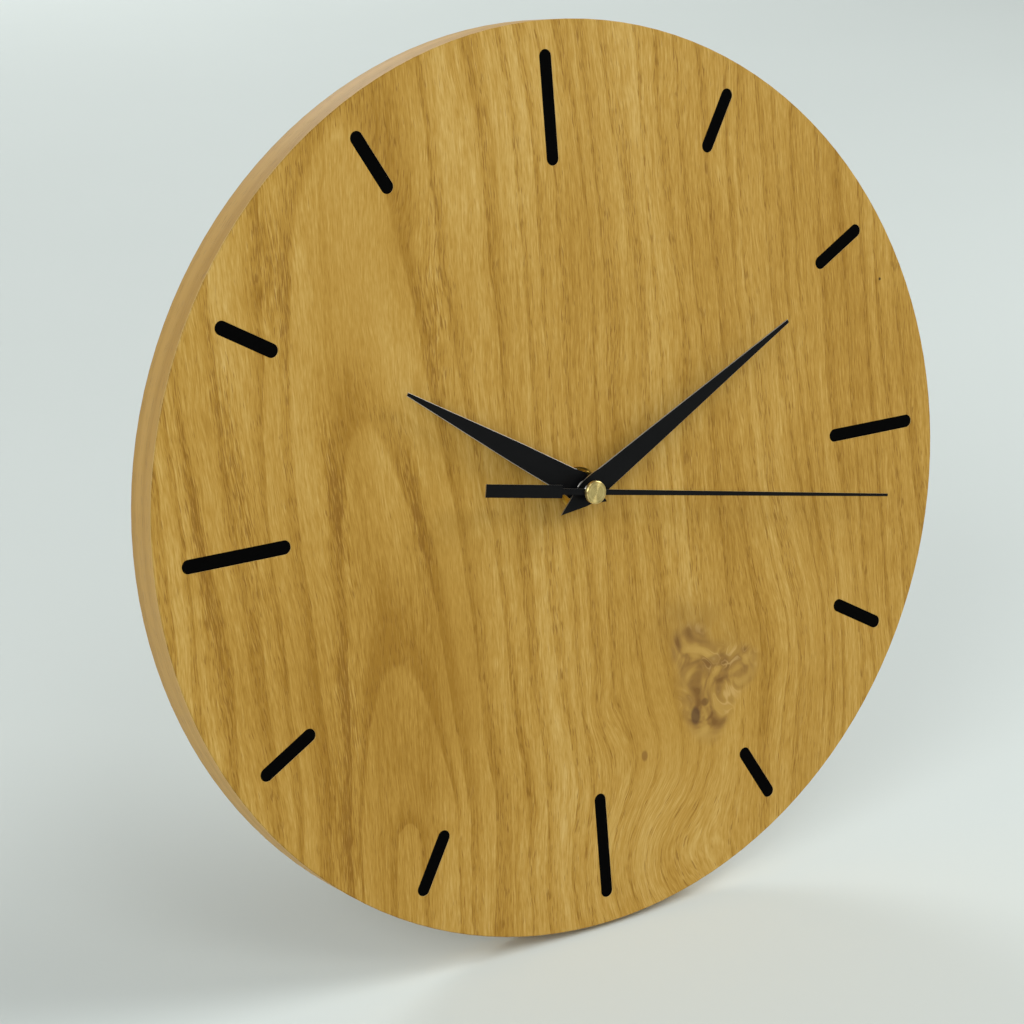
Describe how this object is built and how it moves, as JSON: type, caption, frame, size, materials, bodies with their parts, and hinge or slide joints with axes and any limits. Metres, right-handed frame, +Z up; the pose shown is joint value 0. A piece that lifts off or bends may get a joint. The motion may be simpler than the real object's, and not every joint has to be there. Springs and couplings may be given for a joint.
{
  "type": "wall clock",
  "caption": "Round oak-veneered wall clock with black baton marks, black leaf hands, brass shaft cap and a geared quartz movement let into the back.",
  "frame": {"origin": "on the hand axis, in the plane of the wall that the back rests on", "axes": "+Z up the dial towards twelve, +Y into the wall, dial looks along -Y, +X to the right seen from the front"},
  "size_m": [0.3, 0.0306, 0.3],
  "materials": {
    "oak_face": "oiled oak veneer, vertical grain",
    "oak_back": "plain oak veneer",
    "oak_edge": "oiled oak edge band",
    "board_fibre": "raw fibreboard",
    "mark_black": "flat black",
    "hand_black": "satin black lacquer",
    "turned_brass": "turned, lacquered",
    "hanger_steel": "zinc plated",
    "black_rubber": "matt",
    "case_black": "fine moulded texture",
    "knob_white": "moulded",
    "plate_grey": "moulded",
    "gear_nylon": "moulded acetal",
    "magnet_ferrite": "ground",
    "motor_iron": "stamped silicon steel",
    "bobbin_plastic": "moulded",
    "copper_wire": "enamelled copper winding",
    "board_green": "solder mask",
    "chip_black": "epoxy",
    "can_steel": "drawn can",
    "cell_jacket": "printed sleeve, plain",
    "spring_nickel": "nickel-plated spring steel"
  },
  "bodies": {
    "case": {"board_core": "board_fibre", "face_veneer": "oak_face", "back_veneer": "oak_back", "edge_band": "oak_edge", "hour_mark_01": "mark_black", "hour_mark_02": "mark_black", "hour_mark_03": "mark_black", "hour_mark_04": "mark_black", "hour_mark_05": "mark_black", "hour_mark_06": "mark_black", "hour_mark_07": "mark_black", "hour_mark_08": "mark_black", "hour_mark_09": "mark_black", "hour_mark_10": "mark_black", "hour_mark_11": "mark_black", "hour_mark_12": "mark_black", "hanger_plate": "hanger_steel", "hanger_screws": "hanger_steel", "wall_bumpers": "black_rubber", "hex_nut": "turned_brass", "shaft_washer": "turned_brass", "case_gasket": "black_rubber", "threaded_bushing": "turned_brass", "movement_case": "case_black", "rear_cover": "case_black", "rear_train_plate": "plate_grey", "middle_plate": "plate_grey", "motor_stator": "motor_iron", "coil_core": "motor_iron", "coil_bobbin": "bobbin_plastic", "coil_winding": "copper_wire", "motor_screws": "motor_iron", "circuit_board": "board_green", "clock_chip": "chip_black", "crystal_can": "can_steel", "aa_cell": "cell_jacket", "negative_contact": "spring_nickel", "positive_contact": "spring_nickel"},
    "minutes": {"minute_hand": "hand_black", "minute_collet": "hand_black", "cannon_pinion": "gear_nylon", "centre_wheel": "gear_nylon"},
    "seconds": {"second_hand": "hand_black", "second_tube": "turned_brass", "second_cap": "turned_brass", "seconds_wheel": "gear_nylon"},
    "hours": {"hour_hand": "hand_black", "hour_collet": "hand_black", "hour_wheel": "gear_nylon"},
    "third": {"third_wheel": "gear_nylon"},
    "intermediate": {"intermediate_wheel": "gear_nylon"},
    "rotor": {"rotor_magnet": "magnet_ferrite", "rotor_pinion": "gear_nylon"},
    "motion_work": {"minute_wheel": "gear_nylon"},
    "setting": {"setting_knob": "knob_white", "setting_gear": "gear_nylon"}
  },
  "joints": [
    {"name": "minute_turn", "type": "hinge", "parent": "case", "child": "minutes", "pos_m": [0, 0, 0], "axis": [0, 1, 0], "continuous": true},
    {"name": "second_turn", "type": "hinge", "parent": "case", "child": "seconds", "pos_m": [0, 0, 0], "axis": [0, 1, 0], "continuous": true},
    {"name": "hour_turn", "type": "hinge", "parent": "case", "child": "hours", "pos_m": [0, 0, 0], "axis": [0, 1, 0], "continuous": true},
    {"name": "third_wheel_turn", "type": "hinge", "parent": "case", "child": "third", "pos_m": [-0.0115, 0, 0.00419], "axis": [0, 1, 0], "continuous": true},
    {"name": "intermediate_wheel_turn", "type": "hinge", "parent": "case", "child": "intermediate", "pos_m": [0.00595, 0, 0.01031], "axis": [0, 1, 0], "continuous": true},
    {"name": "rotor_turn", "type": "hinge", "parent": "case", "child": "rotor", "pos_m": [0.01328, 0, 0.01297], "axis": [0, 1, 0], "continuous": true},
    {"name": "minute_wheel_turn", "type": "hinge", "parent": "case", "child": "motion_work", "pos_m": [0.00727, 0, -0.0042], "axis": [0, 1, 0], "continuous": true},
    {"name": "setting_knob_turn", "type": "hinge", "parent": "case", "child": "setting", "pos_m": [0.01615, 0, -0.00097], "axis": [0, 1, 0], "continuous": true}
  ],
  "couplings": [
    {"joint": "second_turn", "follows": "minute_turn", "ratio": 60},
    {"joint": "hour_turn", "follows": "minute_turn", "ratio": 0.083333},
    {"joint": "third_wheel_turn", "follows": "minute_turn", "ratio": -8},
    {"joint": "intermediate_wheel_turn", "follows": "minute_turn", "ratio": -360},
    {"joint": "rotor_turn", "follows": "minute_turn", "ratio": 1800},
    {"joint": "minute_wheel_turn", "follows": "minute_turn", "ratio": -0.33333},
    {"joint": "setting_knob_turn", "follows": "minute_turn", "ratio": 0.66667}
  ]
}
